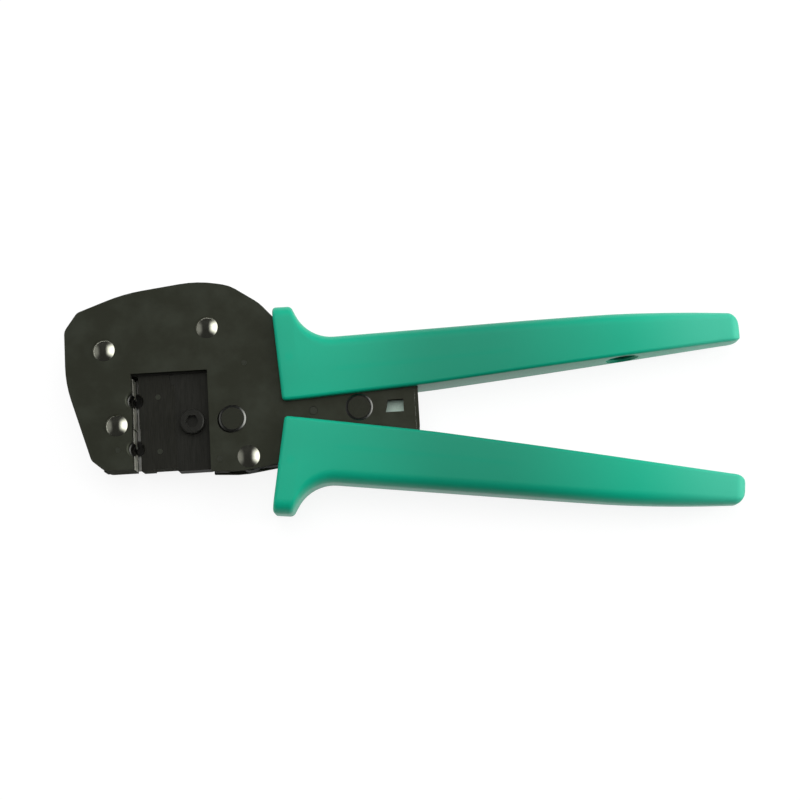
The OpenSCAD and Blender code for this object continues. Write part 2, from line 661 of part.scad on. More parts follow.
// The arm between the ram's cheeks carries the drive pin, and an ear for the return spring
module upper_arm() {
    along = unit(drive - pivot);
    side = arm_half * [along.y, -along.x];
    polygon([pivot + side, drive + side, drive - side, pivot - side]);
    translate(drive) circle(arm_end_r);
    ear = unit(hook_at - drive);
    edge = 2 * [ear.y, -ear.x];
    polygon([drive + edge, hook_at + edge, hook_at - edge, drive - edge]);
    translate(hook_at) circle(hook_r + ear_wall);
}

// The moving lever: boss, bar and ratchet finger in one plate, with a thinner arm
module moving_lever() color([0.3, 0.3, 0.29]) place() difference() {
    union() {
        slab(lever_lo, lever_hi) {
            translate(pivot) circle(boss_r);
            lever_bar();
            ratchet_sector();
        }
        slab(mid_z - arm_t / 2, mid_z + arm_t / 2) upper_arm();
    }
    pin_hole(pivot, pivot_r + run);
    pin_hole(drive, drive_r + press);
    pin_hole(hook_at, hook_r);
}

// The drive pin's heads run just clear of the plates and cover most of their holes
module drive_pin() color([0.6, 0.6, 0.58]) place() {
    top = front_z + slip;
    under = rear_z - slip;
    pin(drive, drive_r, under - drive_head_h / 2, top + drive_head_h / 2);
    button(drive, drive_head_r, top, drive_head_h, 0);
    button(drive, drive_head_r, under, drive_head_h, 180);
}

// The lower grip is hollow at its root, where the plates and the tongue dip into it
module lower_grip() color([0.15, 0.65, 0.52]) place() difference() {
    lower_side() grip_body();
    lower_side() grip_hole();
    slab(rear_z - root_room, front_z + root_room) polygon([
        [20, 8], [20, -20.2], [tongue_end + 4, -15.2], [tongue_end + 4, 8]]);
    slab(lever_lo, lever_hi) lever_bar();
}

// The pawl: hub, nose on the teeth and a tail that shows in the release window
module ratchet_pawl() color([0.62, 0.68, 0.65]) place() difference() {
    reach = tongue_end - 3;
    away = unit(nose_tip - pawl_at);
    side = [-away.y, away.x];
    slab(mid_z - pawl_t / 2, mid_z + pawl_t / 2) {
        translate(pawl_at) circle(pawl_hub_r);
        polygon([pawl_at + 3.4 * side, pawl_at - 3.4 * side, nose_tip - 0.3 * side,
                 nose_tip + 0.3 * side]);
        polygon(rounded([[pawl_at.x, pawl_at.y - 3.2, 0], [reach, pawl_at.y - 3.2, 1],
                         [reach, pawl_at.y + 3, 1], [pawl_at.x, pawl_at.y + 3, 0]]));
    }
    pin_hole(pawl_at, pawl_pin_r + run);
}

module return_spring() color([0.75, 0.75, 0.73]) place()
    extension_spring(hook_at, post_at, return_wire, return_coil_r, 14);

// Compression spring between its pin and the pawl's tail
module pawl_spring() color([0.75, 0.75, 0.73]) place() {
    turns = 3;
    from = spring_pin_at.y + spring_pin_r + pawl_wire / 2 + run;
    to = pawl_at.y - 3.2 - pawl_wire / 2 - run;
    swept([for (k = [0:10 * turns]) [spring_pin_at.x + pawl_coil_r * cos(36 * k),
                                     from + (to - from) * k / (10 * turns),
                                     mid_z + pawl_coil_r * sin(36 * k)]], pawl_wire / 2);
}

front_plate();
rear_plate();
frame_core();
lower_guide();
frame_rivets();
pivot_rivet();
pawl_pin();
spring_post();
pawl_spring_pin();
dowel_pins();
flush_rivets();
fixed_lever();
upper_grip();
insulation_anvil();
conductor_anvil();
terminal_stop();
stop_screw();
ram();
insulation_punch();
conductor_punch();
punch_pins();
die_screw();
moving_lever();
drive_pin();
lower_grip();
ratchet_pawl();
return_spring();
pawl_spring();
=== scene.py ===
"""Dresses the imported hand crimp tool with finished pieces, materials, lamps, floor and camera."""
import json
import math

import bmesh
import bpy
from mathutils import Matrix, Vector


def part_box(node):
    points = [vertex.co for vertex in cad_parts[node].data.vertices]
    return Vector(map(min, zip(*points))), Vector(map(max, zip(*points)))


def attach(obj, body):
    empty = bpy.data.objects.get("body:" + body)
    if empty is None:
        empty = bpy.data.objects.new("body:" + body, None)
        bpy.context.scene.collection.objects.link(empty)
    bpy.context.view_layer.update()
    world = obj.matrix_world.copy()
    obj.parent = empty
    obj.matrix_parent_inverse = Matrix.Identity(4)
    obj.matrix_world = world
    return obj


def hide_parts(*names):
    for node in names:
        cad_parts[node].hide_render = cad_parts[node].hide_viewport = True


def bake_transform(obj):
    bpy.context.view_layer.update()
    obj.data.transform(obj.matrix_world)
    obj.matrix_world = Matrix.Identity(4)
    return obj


bl_info = {
    "name": "Hand crimp tool",
    "version": (1, 0, 0),
    "blender": (4, 5, 0),
    "location": "3D View > Sidebar > Crimp tool",
    "description": "Finished pieces and materials for a ratchet hand crimp tool",
    "category": "Object",
}

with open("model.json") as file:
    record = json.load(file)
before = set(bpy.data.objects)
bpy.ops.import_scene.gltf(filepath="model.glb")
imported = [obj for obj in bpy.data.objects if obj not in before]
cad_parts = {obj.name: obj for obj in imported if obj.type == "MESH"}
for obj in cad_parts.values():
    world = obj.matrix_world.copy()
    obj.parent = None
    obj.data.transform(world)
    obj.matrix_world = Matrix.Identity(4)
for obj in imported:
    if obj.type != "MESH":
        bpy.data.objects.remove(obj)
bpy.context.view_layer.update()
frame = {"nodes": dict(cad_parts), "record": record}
MM = 0.001


def middle(node):
    """The centre of a CAD node's box."""
    lo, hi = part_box(node)
    return (Vector(lo) + Vector(hi)) / 2


# Places on the tool are measured from the die screw
SCREW = middle("die_screw")
MID_Z = middle("front_plate").z / 2 + middle("rear_plate").z / 2
FRONT_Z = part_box("front_plate")[1][2]
REAR_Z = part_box("rear_plate")[0][2]


def spot(u, v, z=0.0):
    """A point from its distance to the die screw along and across the tool in mm, and its height in m."""
    return Vector((SCREW.x + u * MM, SCREW.y + v * MM, z))


def from_screw(point):
    """A point's distance to the die screw along and across the tool in mm."""
    return (point[0] - SCREW.x) / MM, (point[1] - SCREW.y) / MM


# Sizes and colours

# Places and lengths are in mm. The upper nest's centre; the lower one lies as far below the die screw
NEST_AT = (-19.42, 8.4)
# Painted shade inside each nest darkens the stop: its centre from a nest's centre, and the radii where that
# shade begins and is full
NEST_SHADE_AT = (-1.4, 1.5)
NEST_SHADE_RADII = (3.2, 2.4)
# How far left of the screw the ram's upper part begins
RAM_LIP = 7.3
# Along the grips: painted shade deepens the green over the first stretch and fades over the second, and a
# painted sheen lightens the ends over the third
SHADE_STARTS = (40, 90)
SHADE_FADES = (165, 100)
SHEEN_ENDS = (148, 186)


def length(name, description, usual, least, most):
    """A length property, from values in mm."""
    return bpy.props.FloatProperty(
        name=name, description=description, default=usual * MM, min=least * MM, max=most * MM,
        subtype="DISTANCE", unit="LENGTH")


class ToolSizes(bpy.types.PropertyGroup):
    """Sizes of the finished pieces"""
    plate_edge: length("Plate edge", "Rounding left on the stamped edges of the plates", 0.3, 0, 1)
    die_edge: length("Die edge", "Broken edge on the ground dies", 0.12, 0, 0.5)
    grip_round: length("Grip back rounding", "Radius of the moulded edges along the grips' backs", 4.6, 3, 5)
    grip_edge: length("Grip inner edge", "Radius of the edges along the grips' inner sides", 1.3, 1, 1.6)
    rivet_radius: length("Rivet head radius", "Radius of the domed rivet heads", 3.8, 3, 4.2)
    rivet_height: length("Rivet head height", "Height of the domed rivet heads", 1.8, 1, 2.2)
    return_wire: length("Return spring wire", "Wire diameter of the return spring", 0.7, 0.4, 0.9)
    pawl_wire: length("Pawl spring wire", "Wire diameter of the pawl spring", 0.4, 0.2, 0.5)


def linear(code):
    """A hex colour as linear red, green and blue."""
    parts = [int(code[i:i + 2], 16) / 255 for i in (1, 3, 5)]
    return tuple(c / 12.92 if c <= 0.04045 else ((c + 0.055) / 1.055) ** 2.4 for c in parts)


def tint(name, description, code):
    """A colour property."""
    return bpy.props.FloatVectorProperty(
        name=name, description=description, default=linear(code), min=0.0, max=1.0, size=3, subtype="COLOR")


class ToolColours(bpy.types.PropertyGroup):
    """Colours of the finishes"""
    grip: tint("Grips", "Green of the moulded grips", "#05AD89")
    grip_deep: tint("Grips, deep", "Darker green of the mould's flow marks", "#05A583")
    # Paler green: a painted sheen on the grips' ends
    grip_painted_sheen: tint("Grips, pale", "Paler green of the rubbed ends", "#3BB898")
    # Deeper green: painted shade along the grips' middle
    grip_painted_shade: tint("Grips, held", "Deeper green where a hand holds the grips", "#068D6F")
    oxide: tint("Black oxide", "Black oxide on the side plates and the large pins", "#414339")
    oxide_worn: tint("Black oxide, worn", "Rubbed black oxide, and the small pins", "#4A4D43")
    die: tint("Die steel", "Ground tool steel of the dies", "#3B3B36")
    bare: tint("Bare steel", "Polished edges, and the stop's strip", "#D8D8D2")
    ground: tint("Ground faces", "Bare ground faces of the dies", "#DCDCD0")
    nickel: tint("Nickel", "Bright nickel on the rivets", "#DFE0CE")
    rubbed: tint("Rubbed steel", "Rubbed edges, and the springs' wire", "#8E8F8A")
    pawl: tint("Pawl steel", "Pale plated steel of the pawl", "#C6DED0")
    # This colour is also painted shade in the nests on the stop and deep in the grips' round holes
    core: tint("Core steel", "Dark steel of the ram, the screw and what lies between the plates", "#3B3B37")


# Materials

def add(tree, kind, links=None, **settings):
    """Adds a node with its settings. links says by name or number what an input gets: a value, or another
    node's socket."""
    node = tree.nodes.new(kind)
    for key, value in settings.items():
        setattr(node, key, value)
    for key, value in (links or {}).items():
        if isinstance(value, bpy.types.NodeSocket):
            tree.links.new(value, node.inputs[key])
        else:
            node.inputs[key].default_value = value
    return node


def rgba(colour):
    """A colour with full opacity."""
    return (*colour, 1.0)


def finish_of(name, metallic, roughness):
    """A new material, its tree, its shader and its object coordinates."""
    material = bpy.data.materials.new(name)
    material.use_nodes = True
    tree = material.node_tree
    tree.nodes.clear()
    shader = add(tree, "ShaderNodeBsdfPrincipled", {"Metallic": metallic, "Roughness": roughness})
    add(tree, "ShaderNodeOutputMaterial", {"Surface": shader.outputs[0]})
    place = add(tree, "ShaderNodeTexCoord").outputs["Object"]
    return material, tree, shader, place


def grain(tree, place, size_mm, detail=2.0, stretch=(1, 1, 1)):
    """Noise whose grains are size_mm across."""
    mapped = add(tree, "ShaderNodeMapping", {"Vector": place, "Scale": stretch}).outputs[0]
    return add(tree, "ShaderNodeTexNoise",
               {"Vector": mapped, "Scale": 1 / (size_mm * MM), "Detail": detail}).outputs[0]


def between(tree, factor, low, high, start, end):
    """Colour ramp from low to high while the factor goes from start to end."""
    ramp = add(tree, "ShaderNodeValToRGB", {0: factor})
    ramp.color_ramp.elements[0].position = start
    ramp.color_ramp.elements[0].color = rgba(low)
    ramp.color_ramp.elements[1].position = end
    ramp.color_ramp.elements[1].color = rgba(high)
    return ramp.outputs[0]


def spread(tree, factor, low, high):
    """A number from low to high that follows noise, which keeps mostly between 0.3 and 0.7."""
    return add(tree, "ShaderNodeMapRange",
               {"Value": factor, "From Min": 0.3, "From Max": 0.7, "To Min": low, "To Max": high}).outputs[0]


def smooth_step(tree, value, start, end, low=0.0, high=1.0):
    """A number that goes smoothly from low to high while the value goes from start to end."""
    return add(tree, "ShaderNodeMapRange",
               {"Value": value, "From Min": start, "From Max": end, "To Min": low, "To Max": high},
               interpolation_type="SMOOTHSTEP").outputs[0]


def calculate(tree, operation, *values):
    """The result of a math node on numbers or sockets."""
    return add(tree, "ShaderNodeMath", dict(enumerate(values)), operation=operation).outputs[0]


def mixed(tree, share, first, second):
    """A mix of two colours. A mix node takes them at inputs 6 and 7 and gives the mix at output 2."""
    return add(tree, "ShaderNodeMix", {0: share, 6: first, 7: second}, data_type="RGBA").outputs[2]


def relief(tree, shader, height, depth_mm, strength):
    """Bump of a real depth on the shader."""
    bump = add(tree, "ShaderNodeBump", {"Height": height, "Distance": depth_mm * MM, "Strength": strength})
    tree.links.new(bump.outputs[0], shader.inputs["Normal"])


def moulded_grip(c):
    """Injection-moulded polypropylene: satin, with a fine spark-eroded texture of about half a
    millimetre and slow flow marks, so that highlights are soft. Its colour carries painted shade, a
    deeper green along the middle, and a painted sheen, a paler green towards the ends."""
    material, tree, shader, place = finish_of("moulded_polypropylene", 0.0, 0.42)
    flow = grain(tree, place, 26.0, 1.0, (0.35, 1, 1))
    fresh = between(tree, flow, c.grip_deep, c.grip, 0.35, 0.6)
    along = add(tree, "ShaderNodeSeparateXYZ", {0: place}).outputs["X"]
    starts, fades, sheen = (smooth_step(tree, along, spot(start, 0).x, spot(end, 0).x)
                           for start, end in (SHADE_STARTS, SHADE_FADES, SHEEN_ENDS))
    # Painted shade: a deeper green along the grips' middle
    shaded = mixed(tree, calculate(tree, "MULTIPLY", starts, fades), fresh, rgba(c.grip_painted_shade))
    # Painted sheen: a paler green towards the grips' ends
    tree.links.new(mixed(tree, sheen, shaded, rgba(c.grip_painted_sheen)), shader.inputs["Base Color"])
    shader.inputs["Specular IOR Level"].default_value = 0.33
    spark = grain(tree, place, 0.45, 3.0)
    tree.links.new(spread(tree, spark, 0.34, 0.46), shader.inputs["Roughness"])
    relief(tree, shader, spark, 0.03, 0.35)
    return material


def matt_coating(shader):
    """Makes the shader a rough coating, which doesn't flare where it is seen at a low angle."""
    shader.inputs["Specular IOR Level"].default_value = 0.12
    shader.inputs["Specular Tint"].default_value = (0.06, 0.06, 0.06, 1.0)


def black_oxide(c):
    """Stamped spring steel with black oxide: a dark olive satin, cloudy over about a centimetre, with
    fine rolling lines along the tool."""
    material, tree, shader, place = finish_of("black_oxide_steel", 0.6, 0.42)
    matt_coating(shader)
    cloud = grain(tree, place, 9.0, 4.0)
    tree.links.new(between(tree, cloud, c.oxide, c.oxide_worn, 0.42, 0.72), shader.inputs["Base Color"])
    lines = grain(tree, place, 0.35, 2.0, (0.06, 1, 1))
    tree.links.new(spread(tree, lines, 0.38, 0.48), shader.inputs["Roughness"])
    relief(tree, shader, lines, 0.006, 0.2)
    return material


def sheared_steel(c):
    """Black oxide on the torn wall that a stamping tool leaves: rough and dull, with upright marks."""
    material, tree, shader, place = finish_of("sheared_black_oxide", 0.6, 0.8)
    matt_coating(shader)
    torn = grain(tree, place, 0.3, 2.0, (1, 1, 0.1))
    tree.links.new(between(tree, torn, c.core, c.oxide, 0.35, 0.65), shader.inputs["Base Color"])
    relief(tree, shader, torn, 0.02, 0.4)
    return material


def ground_steel(name, colour, roughness, line_mm=0.2):
    """Tool steel ground on a surface grinder and blackened: fine parallel lines across the tool,
    line_mm apart."""
    material, tree, shader, place = finish_of(name, 0.6, roughness)
    matt_coating(shader)
    lines = grain(tree, place, line_mm, 2.0, (1, 0.05, 1))
    darker = tuple(0.78 * v for v in colour)
    tree.links.new(between(tree, lines, darker, colour, 0.35, 0.65), shader.inputs["Base Color"])
    tree.links.new(spread(tree, lines, roughness - 0.06, roughness + 0.08), shader.inputs["Roughness"])
    relief(tree, shader, lines, 0.008, 0.3)
    return material


def turned_metal(name, colour, roughness, metallic=1.0):
    """Smooth metal, bright or coated: nearly even, with a light orange peel of about 0.6 mm."""
    material, tree, shader, place = finish_of(name, metallic, roughness)
    peel = grain(tree, place, 0.6, 1.0)
    darker = tuple(0.9 * v for v in colour)
    tree.links.new(between(tree, peel, darker, colour, 0.35, 0.65), shader.inputs["Base Color"])
    tree.links.new(spread(tree, peel, roughness * 0.9, roughness * 1.1), shader.inputs["Roughness"])
    relief(tree, shader, peel, 0.004, 0.15)
    return material


def stop_plate(c):
    """Pale zinc-plated strip, darkened round the two nests by painted shade."""
    material, tree, shader, place = finish_of("zinc_plated_stop", 0.1, 0.4)
    shares = []
    for side in (-1, 1):
        mark = spot(NEST_AT[0] + NEST_SHADE_AT[0], side * NEST_AT[1] + NEST_SHADE_AT[1], REAR_Z)
        gap = add(tree, "ShaderNodeVectorMath", {0: place, 1: mark}, operation="DISTANCE").outputs["Value"]
        shares.append(smooth_step(tree, gap, NEST_SHADE_RADII[0] * MM, NEST_SHADE_RADII[1] * MM))
    # Painted shade: the share of the dark colour round each nest
    rubbed = calculate(tree, "MAXIMUM", *shares)
    tree.links.new(between(tree, rubbed, c.bare, c.core, 0.0, 1.0), shader.inputs["Base Color"])
    return material


FINISH = {}


def make_finishes(c):
    """Every material of the tool: by the record's slot, or by the kind of face that it marks."""
    FINISH["green_grip"] = moulded_grip(c)
    FINISH["blackened_steel"] = black_oxide(c)
    FINISH["core_steel"] = ground_steel("dark_core_steel", c.core, 0.5, 0.3)
    FINISH["ram_steel"] = ground_steel("blackened_ram_steel", c.core, 0.45, 0.25)
    FINISH["die_steel"] = ground_steel("ground_die_steel", c.die, 0.38)
    FINISH["stop_steel"] = stop_plate(c)
    FINISH["ground_face"] = turned_metal("bare_ground_face", c.ground, 0.32, 0.15)
    FINISH["sheared_edge"] = sheared_steel(c)
    FINISH["bare_chamfer"] = turned_metal("polished_chamfer", c.bare, 0.2)
    FINISH["rubbed_slope"] = turned_metal("rubbed_slope", c.rubbed, 0.24)
    FINISH["worn_chamfer"] = turned_metal("worn_chamfer", tuple(0.42 * v for v in c.rubbed), 0.3)
    FINISH["nickel_rivet"] = turned_metal("bright_nickel", c.nickel, 0.14)
    FINISH["dark_pin"] = turned_metal("dark_turned_pin", c.oxide, 0.2, 0.5)
    FINISH["pin_steel"] = turned_metal("blackened_pin", c.oxide_worn, 0.4, 0.6)
    FINISH["black_screw"] = turned_metal("black_oxide_screw", c.core, 0.34, 0.6)
    FINISH["pawl_steel"] = turned_metal("plated_pawl_steel", c.pawl, 0.45, 0.1)
    FINISH["spring_wire"] = turned_metal("drawn_spring_wire", c.rubbed, 0.25)


# Mesh helpers

SLOT_OF = {s["node"]: s["material_slot"] for s in frame["record"]["subparts"]}
BODY_OF = {n: b for b, names in frame["record"]["behaviour"]["bodies"].items() for n in names}

# Corners of a CAD node that lie closer than this are one, in m, and its faces that turn less are flat
WELD = 2e-6
FLAT_BELOW = math.radians(0.4)
# Edges that turn more than this are broken
BROKEN_ABOVE = math.radians(38)
# Edges that turn more than this stay sharp after other modifiers and after a cut
SHARP_ABOVE = math.radians(35)
CUT_SHARP_ABOVE = math.radians(30)


def new_object(name, mesh):
    """A new object with this mesh, in the scene."""
    obj = bpy.data.objects.new(name, mesh)
    bpy.context.scene.collection.objects.link(obj)
    return obj


def from_bmesh(name, bm):
    """A new object with the shape that bm holds. It frees bm."""
    mesh = bpy.data.meshes.new(name)
    bm.to_mesh(mesh)
    bm.free()
    return new_object(name, mesh)


def settle(obj, angle=SHARP_ABOVE):
    """Applies the object's modifiers, and shades it smooth up to the angle where there is one."""
    bpy.context.view_layer.update()
    graph = bpy.context.evaluated_depsgraph_get()
    mesh = bpy.data.meshes.new_from_object(obj.evaluated_get(graph))
    obj.modifiers.clear()
    old, obj.data = obj.data, mesh
    name = old.name
    bpy.data.meshes.remove(old)
    mesh.name = name
    if not mesh.polygons:
        raise RuntimeError(f"{obj.name} came out empty")
    if angle is not None:
        mesh.shade_smooth()
        mesh.set_sharp_from_angle(angle=angle)


def fit(obj, node):
    """The piece stands for a CAD node, rides on its body and takes its slot."""
    if not obj.data.materials:
        obj.data.materials.append(FINISH[SLOT_OF[node]])
    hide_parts(node)
    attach(obj, BODY_OF[node])


def strung(spring, node):
    """A spring for a CAD node: the node is hidden, and the spring stays fixed where it is wound."""
    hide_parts(node)
    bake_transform(spring)


def dressed(node, edge, shape=None, **marks):
    """A merged copy of a CAD node with its edges broken. shape works on the copy first, and each mark names
    a finish and gives the test for the faces that get it."""
    bm = bmesh.new()
    bm.from_mesh(frame["nodes"][node].data)
    bmesh.ops.remove_doubles(bm, verts=bm.verts, dist=WELD)
    bmesh.ops.dissolve_limit(bm, angle_limit=FLAT_BELOW, verts=bm.verts, edges=bm.edges)
    obj = from_bmesh(node + "_finished", bm)
    if shape:
        shape(obj)
    if edge > 0:
        bevel = obj.modifiers.new("edge", "BEVEL")
        bevel.width = edge
        bevel.segments = 2
        bevel.limit_method = "ANGLE"
        bevel.angle_limit = BROKEN_ABOVE
        bevel.use_clamp_overlap = True
    settle(obj)
    flat = obj.modifiers.new("flat", "WEIGHTED_NORMAL")
    flat.keep_sharp = True
    settle(obj, None)
    obj.data.materials.append(FINISH[SLOT_OF[node]])
    for finish, test in marks.items():
        obj.data.materials.append(FINISH[finish])
        for face in obj.data.polygons:
            if test(face):
                face.material_index = len(obj.data.materials) - 1
    fit(obj, node)


def repaint(*nodes):
    """CAD nodes whose shape is right keep it and get their finish."""
    for node in nodes:
        data = frame["nodes"][node].data
        data.materials.clear()
        data.materials.append(FINISH[SLOT_OF[node]])


def group_input(tree, name, kind):
    """Adds an input to a node group. The identifier is what a modifier sets it by."""
    return tree.interface.new_socket(name, in_out="INPUT", socket_type=kind).identifier


def run_tree(obj, tree, values):
    """Puts the tree on the object with its inputs set, and keeps the result as a plain mesh."""
    mod = obj.modifiers.new(tree.name, "NODES")
    mod.node_group = tree
    for identifier, value in values.items():
        mod[identifier] = value
    settle(obj)


def wire_tree():
    """Geometry nodes: round wire along the edges of the object."""
    tree = bpy.data.node_groups.new("wire_along_path", "GeometryNodeTree")
    tree.interface.new_socket("Geometry", in_out="INPUT", socket_type="NodeSocketGeometry")
    ids = {"radius": group_input(tree, "Wire Radius", "NodeSocketFloat"),
           "sides": group_input(tree, "Sides", "NodeSocketInt"),
           "finish": group_input(tree, "Finish", "NodeSocketMaterial")}
    tree.interface.new_socket("Geometry", in_out="OUTPUT", socket_type="NodeSocketGeometry")
    given = add(tree, "NodeGroupInput")
    path = add(tree, "GeometryNodeMeshToCurve", {"Mesh": given.outputs["Geometry"]})
    ring = add(tree, "GeometryNodeCurvePrimitiveCircle",
               {"Resolution": given.outputs["Sides"], "Radius": given.outputs["Wire Radius"]})
    tube = add(tree, "GeometryNodeCurveToMesh",
               {"Curve": path.outputs[0], "Profile Curve": ring.outputs[0], "Fill Caps": True})
    real = add(tree, "GeometryNodeRealizeInstances", {"Geometry": tube.outputs[0]})
    done = add(tree, "GeometryNodeSetMaterial",
               {"Geometry": real.outputs[0], "Material": given.outputs["Finish"]})
    add(tree, "NodeGroupOutput", {"Geometry": done.outputs[0]})
    return tree, ids


def repeat_tree():
    """Geometry nodes: one piece repeated on every point, turned over on the points below the middle."""
    tree = bpy.data.node_groups.new("repeat_on_points", "GeometryNodeTree")
    tree.interface.new_socket("Geometry", in_out="INPUT", socket_type="NodeSocketGeometry")
    ids = {"piece": group_input(tree, "Piece", "NodeSocketObject"),
           "middle": group_input(tree, "Middle Height", "NodeSocketFloat"),
           "finish": group_input(tree, "Finish", "NodeSocketMaterial")}
    tree.interface.new_socket("Geometry", in_out="OUTPUT", socket_type="NodeSocketGeometry")
    given = add(tree, "NodeGroupInput")
    piece = add(tree, "GeometryNodeObjectInfo", {"Object": given.outputs["Piece"]})
    height = add(tree, "ShaderNodeSeparateXYZ", {0: add(tree, "GeometryNodeInputPosition").outputs[0]})
    below = calculate(tree, "LESS_THAN", height.outputs["Z"], given.outputs["Middle Height"])
    turn = add(tree, "ShaderNodeCombineXYZ", {"X": calculate(tree, "MULTIPLY", below, math.pi)})
    copies = add(tree, "GeometryNodeInstanceOnPoints",
                 {"Points": given.outputs["Geometry"], "Instance": piece.outputs["Geometry"],
                  "Rotation": turn.outputs[0]})
    real = add(tree, "GeometryNodeRealizeInstances", {"Geometry": copies.outputs[0]})
    done = add(tree, "GeometryNodeSetMaterial",
               {"Geometry": real.outputs[0], "Material": given.outputs["Finish"]})
    add(tree, "NodeGroupOutput", {"Geometry": done.outputs[0]})
    return tree, ids


def points_object(name, points, joined=False):
    """An object of bare points, joined in a line where asked."""
    mesh = bpy.data.meshes.new(name)
    edges = [(i, i + 1) for i in range(len(points) - 1)] if joined else []
    mesh.from_pydata([tuple(p) for p in points], edges, [])
    return new_object(name, mesh)


def skinned(name, rings):
    """A solid over rings of places. A ring may be one place, as on an axis; else an end ring is capped."""
    bm = bmesh.new()
    rings = [[bm.verts.new(place) for place in ring] for ring in rings]
    steps = max(len(ring) for ring in rings)
    for low, high in zip(rings, rings[1:]):
        for k in range(steps):
            j = (k + 1) % steps
            corners = (low[k % len(low)], low[j % len(low)], high[j % len(high)], high[k % len(high)])
            bm.faces.new(list(dict.fromkeys(corners)))
    for ring in (rings[0], rings[-1]):
        if len(ring) > 1:
            bm.faces.new(ring)
    bmesh.ops.recalc_face_normals(bm, faces=bm.faces)
    return from_bmesh(name, bm)


def turned(name, profile, steps=48):
    """A solid of revolution about Z from (radius, height) pairs, from the axis below to the axis above."""
    angles = [2 * math.pi * k / steps for k in range(steps)]
    return skinned(name, [[(r * math.cos(a), r * math.sin(a), z) for a in angles] if r else [(0, 0, z)]
                          for r, z in profile])


def prism(name, corners, low, high):
    """A closed prism over corners given in mm from the die screw, between two heights in m."""
    return skinned(name, [[spot(u, v, z) for u, v in corners] for z in (low, high)])


# Grips

# Upper grip in mm from the die screw: the corners of its back with their radii, and tables from the
# place along the tool to the inner edge and to the half thickness. The lower grip mirrors it
GRIP_BACK = [(29.2, 38.5, 0), (35.8, 38.5, 2), (41.2, 26.7, 14), (160, 29.55, 400), (192, 27.1, 0)]
GRIP_INNER = [(31.5, 4.9), (82, 7.8), (192, 17.5)]
GRIP_HALF = [(118, 9.0), (140, 8.05), (163, 6.5), (192, 4.7)]
GRIP_LEFT, GRIP_END = GRIP_BACK[0][0], GRIP_BACK[-1][0]
# The grips' sections stand this far apart or closer
SECTION_STEP = 3.0
# The back's rounding at the root, which passes into the moulding's own by the second place; that holds up
# to the third and falls to half at the fourth
ROOT_ROUND = 5.0
ROUND_AT = (30, 52, 165, 192)
# Length of the rounding at the grips' ends, and how far the faces draw in there, as a share of it
END_ROUND = 3.6
FACE_SHARE = 0.8
# How far short of GRIP_END each grip ends, and how far its back and its inner edge draw in, as shares
UPPER_END = (0.8, 1.7, 0.35)
LOWER_END = (1.4, 1.5, 0.9)
# No plain section comes closer to a rounded end than this, and no rounding gets smaller than the second
SECTION_GAP = 0.3
LEAST_ROUND = 0.1
# The line midway between the grips leans by this angle and passes through this point, and the lower grip
# is set back along it
SPREAD = math.radians(3.1)
SPREAD_AT = Vector((0, 4.07))
SET_BACK = 0.8 * Vector((math.cos(SPREAD), -math.sin(SPREAD)))
# The round hole in the inner face: place, radius and depth, and how it leans with that face
GRIP_HOLE_AT = (150, 14.1)
GRIP_HOLE_R = 5.3
GRIP_HOLE_D = 11
HOLE_LEAN = math.radians(4.6)
# Below this depth the hole's wall gets the dark steel finish as painted shade
HOLE_SHADE_DEPTH = 1.2
# Outlines of what is cut out of the grips for the steel at their roots, with the play on each face
UPPER_SPACE = [(20, -5), (78.3, -5), (78.3, 20.1), (35.1, 20.1), (33.7, 30.3), (25, 40.2), (20, 40.2)]
UPPER_PLAY = 0.05
LOWER_SPACE = [(20, 8), (20, -20.2), (82.2, -15.2), (82.2, 8)]
LOWER_PLAY = 0.5


def rounded(corners):
    """Points of an open line in mm whose inner corners each carry a radius."""
    points = [Vector(corners[0][:2])]
    for before, (x, y, r), after in zip(corners, corners[1:], corners[2:]):
        corner = Vector((x, y))
        back, on = ((Vector(place[:2]) - corner).normalized() for place in (before, after))
        half = math.acos(back.dot(on)) / 2
        centre = corner + (back + on).normalized() * (r / math.sin(half))
        start = corner + back * (r / math.tan(half)) - centre
        turn = math.copysign(math.pi - 2 * half, on.x * back.y - on.y * back.x)
        steps = 10
        points += [centre + Matrix.Rotation(turn * k / steps, 2) @ start for k in range(steps + 1)]
    return points + [Vector(corners[-1][:2])]


def lookup(x, table):
    """The value at x on straight lines between the table's points."""
    if x <= table[0][0]:
        return table[0][1]
    for (x0, y0), (x1, y1) in zip(table, table[1:]):
        if x <= x1:
            return y0 + (y1 - y0) * (x - x0) / (x1 - x0)
    return table[-1][1]


def eased(x, table, reach=7.0):
    """The table's value with its bends drawn out: the mean of 13 values over reach mm to both sides."""
    return sum(lookup(x + reach * k / 6, table) for k in range(-6, 7)) / 13


def mirrored(p):
    """A point of the lower grip: the upper one reflected in the line midway between them, and set back."""
    normal = Vector((math.sin(SPREAD), math.cos(SPREAD)))
    return p + SET_BACK - normal * (2 * (p - SPREAD_AT).dot(normal))


